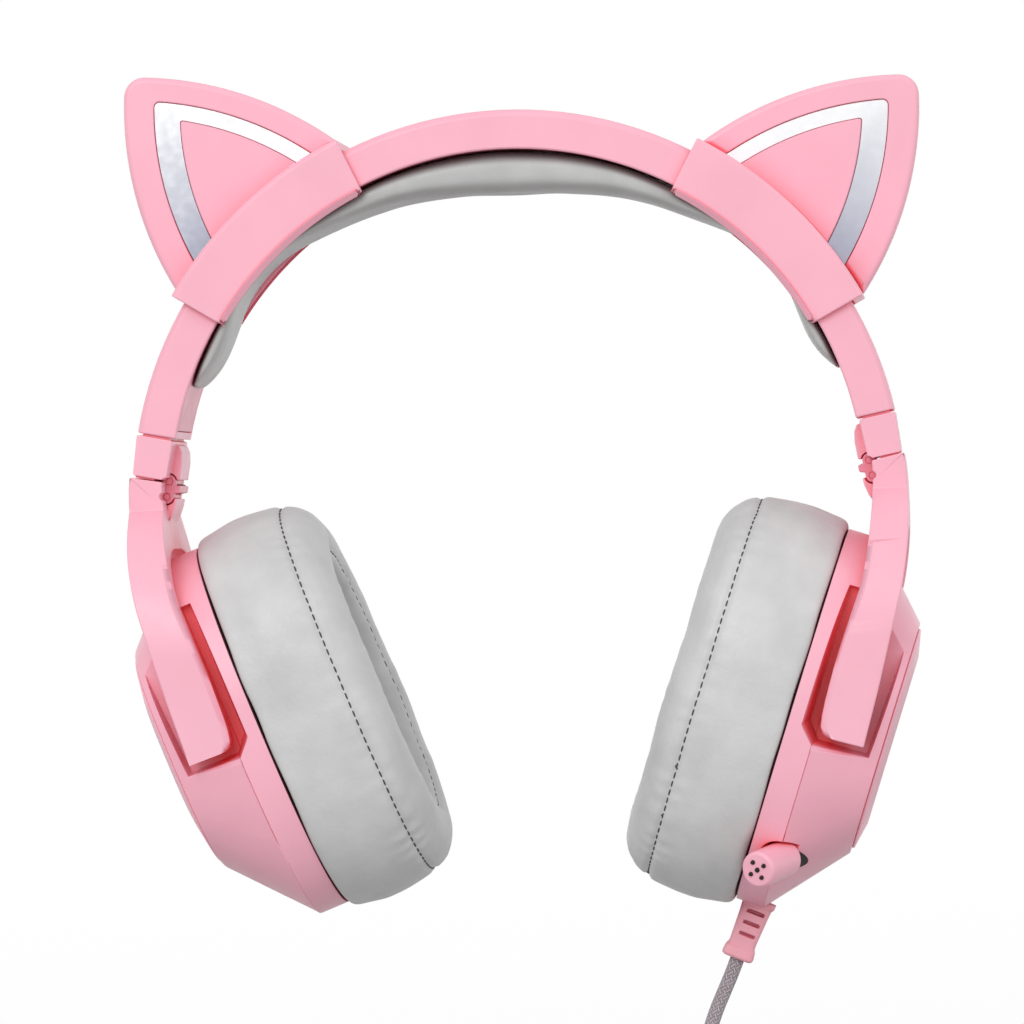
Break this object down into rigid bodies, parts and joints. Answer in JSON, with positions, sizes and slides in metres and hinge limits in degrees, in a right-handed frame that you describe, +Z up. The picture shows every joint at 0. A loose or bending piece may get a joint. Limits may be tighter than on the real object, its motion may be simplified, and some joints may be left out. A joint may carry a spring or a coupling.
{
  "type": "headset",
  "caption": "Over-ear gaming headset with clip-on cat ears, sliding and folding yokes, tilting cups, a slide-out microphone and a braided cord.",
  "frame": {"origin": "middle of the underside of the headband's pad, where the headset rests on a head", "axes": "+Z up, +X towards the wearer's left cup with the microphone and cord, -Y to the front"},
  "size_m": [0.1946, 0.085, 0.3289],
  "materials": {
    "pink_plastic": "satin moulded pink",
    "deep_pink_plastic": "satin moulded pink, a shade deeper",
    "soft_pink_plastic": "soft moulded pink",
    "steel": "brushed",
    "mirror_strip": "polished silver film",
    "band_leatherette": "smooth grey leatherette",
    "cushion_leatherette": "light grey leatherette with dark stitches",
    "black_plastic": "matt black",
    "black_rubber": "matt black",
    "black_cloth": "woven speaker cloth",
    "green_board": "lacquered board",
    "braided_cord": "braided textile sleeve",
    "plug_metal": "polished"
  },
  "bodies": {
    "headband": {"headband_shell": "pink_plastic", "headband_inner_plate": "deep_pink_plastic", "headband_spring": "steel", "headband_pad": "band_leatherette"},
    "ear_left": {"ear_clip_left": "pink_plastic", "ear_frame_left": "pink_plastic", "ear_mirror_left": "mirror_strip", "ear_panel_left": "pink_plastic"},
    "slider_left": {"slider_strip_left": "steel", "slider_block_left": "pink_plastic"},
    "link_left": {"hinge_link_left": "deep_pink_plastic", "hinge_pins_left": "steel"},
    "yoke_left": {"yoke_left": "pink_plastic", "pivot_pins_left": "steel"},
    "cup_left": {"cup_shell_left": "pink_plastic", "cup_cover_left": "pink_plastic", "cup_ring_left": "pink_plastic", "baffle_left": "black_plastic", "driver_left": "black_plastic", "speaker_cloth_left": "black_cloth", "gasket_left": "black_rubber", "ear_cushion_left": "cushion_leatherette", "cup_screws_left": "steel", "mic_bushing": "black_rubber", "circuit_board": "green_board", "volume_potentiometer": "black_plastic"},
    "ear_right": {"ear_clip_right": "pink_plastic", "ear_frame_right": "pink_plastic", "ear_mirror_right": "mirror_strip", "ear_panel_right": "pink_plastic"},
    "slider_right": {"slider_strip_right": "steel", "slider_block_right": "pink_plastic"},
    "link_right": {"hinge_link_right": "deep_pink_plastic", "hinge_pins_right": "steel"},
    "yoke_right": {"yoke_right": "pink_plastic", "pivot_pins_right": "steel"},
    "cup_right": {"cup_shell_right": "pink_plastic", "cup_cover_right": "pink_plastic", "cup_ring_right": "pink_plastic", "baffle_right": "black_plastic", "driver_right": "black_plastic", "speaker_cloth_right": "black_cloth", "gasket_right": "black_rubber", "ear_cushion_right": "cushion_leatherette", "cup_screws_right": "steel"},
    "microphone": {"mic_tip": "pink_plastic", "mic_stem": "steel"},
    "volume_wheel": {"volume_wheel": "deep_pink_plastic"},
    "mute_button": {"mute_button": "deep_pink_plastic"},
    "cord": {"strain_relief": "soft_pink_plastic", "cord": "braided_cord", "cord_coil": "braided_cord", "cord_tie": "black_plastic", "plug_body": "soft_pink_plastic", "plug_pin": "plug_metal"}
  },
  "joints": [
    {"name": "ear_left_off", "type": "slide", "parent": "headband", "child": "ear_left", "axis": [0.7083, 0, 0.7059], "range_m": [0, 0.03]},
    {"name": "slide_left", "type": "slide", "parent": "headband", "child": "slider_left", "axis": [0.1942, 0, -0.981], "range_m": [0, 0.02]},
    {"name": "fold_left", "type": "hinge", "parent": "slider_left", "child": "link_left", "pos_m": [0.08524, 0, -0.06693], "axis": [0, 1, 0], "range_deg": [0, 14]},
    {"name": "fold_left_lower", "type": "hinge", "parent": "link_left", "child": "yoke_left", "pos_m": [0.08598, 0, -0.07065], "axis": [0, 1, 0], "range_deg": [0, 8.4]},
    {"name": "tilt_left", "type": "hinge", "parent": "yoke_left", "child": "cup_left", "pos_m": [0.07973, 0, -0.1257], "axis": [0, 1, 0], "range_deg": [-10, 1]},
    {"name": "ear_right_off", "type": "slide", "parent": "headband", "child": "ear_right", "axis": [-0.6652, 0, 0.7466], "range_m": [0, 0.03]},
    {"name": "slide_right", "type": "slide", "parent": "headband", "child": "slider_right", "axis": [-0.1942, 0, -0.981], "range_m": [0, 0.02]},
    {"name": "fold_right", "type": "hinge", "parent": "slider_right", "child": "link_right", "pos_m": [-0.08524, 0, -0.06693], "axis": [0, 1, 0], "range_deg": [-14, 0]},
    {"name": "fold_right_lower", "type": "hinge", "parent": "link_right", "child": "yoke_right", "pos_m": [-0.08598, 0, -0.07065], "axis": [0, 1, 0], "range_deg": [-8.4, 0]},
    {"name": "tilt_right", "type": "hinge", "parent": "yoke_right", "child": "cup_right", "pos_m": [-0.07724, 0, -0.12536], "axis": [0, 1, 0], "range_deg": [-1, 10]},
    {"name": "mic_slide", "type": "hinge", "parent": "cup_left", "child": "microphone", "pos_m": [0.01052, -0.0051, -0.14425], "axis": [-0.194, 0.2671, -0.944], "range_deg": [0, 38]},
    {"name": "volume_turn", "type": "hinge", "parent": "cup_left", "child": "volume_wheel", "pos_m": [0.0695, 0.0287, -0.14968], "axis": [0.9472, 0, -0.3206], "range_deg": [-135, 135]},
    {"name": "mute_press", "type": "slide", "parent": "cup_left", "child": "mute_button", "axis": [-0.1974, -0.788, -0.5832], "range_m": [0, 0.0008], "stiffness_N_per_m": 400},
    {"name": "cord_swing", "type": "hinge", "parent": "cup_left", "child": "cord", "pos_m": [0.05493, 0, -0.17368], "axis": [0, 1, 0], "range_deg": [-22.4, 0]}
  ],
  "couplings": [
    {"joint": "fold_left_lower", "follows": "fold_left", "ratio": 0.6},
    {"joint": "fold_right_lower", "follows": "fold_right", "ratio": 0.6},
    {"joint": "cord_swing", "follows": "fold_left", "ratio": -1.6}
  ]
}
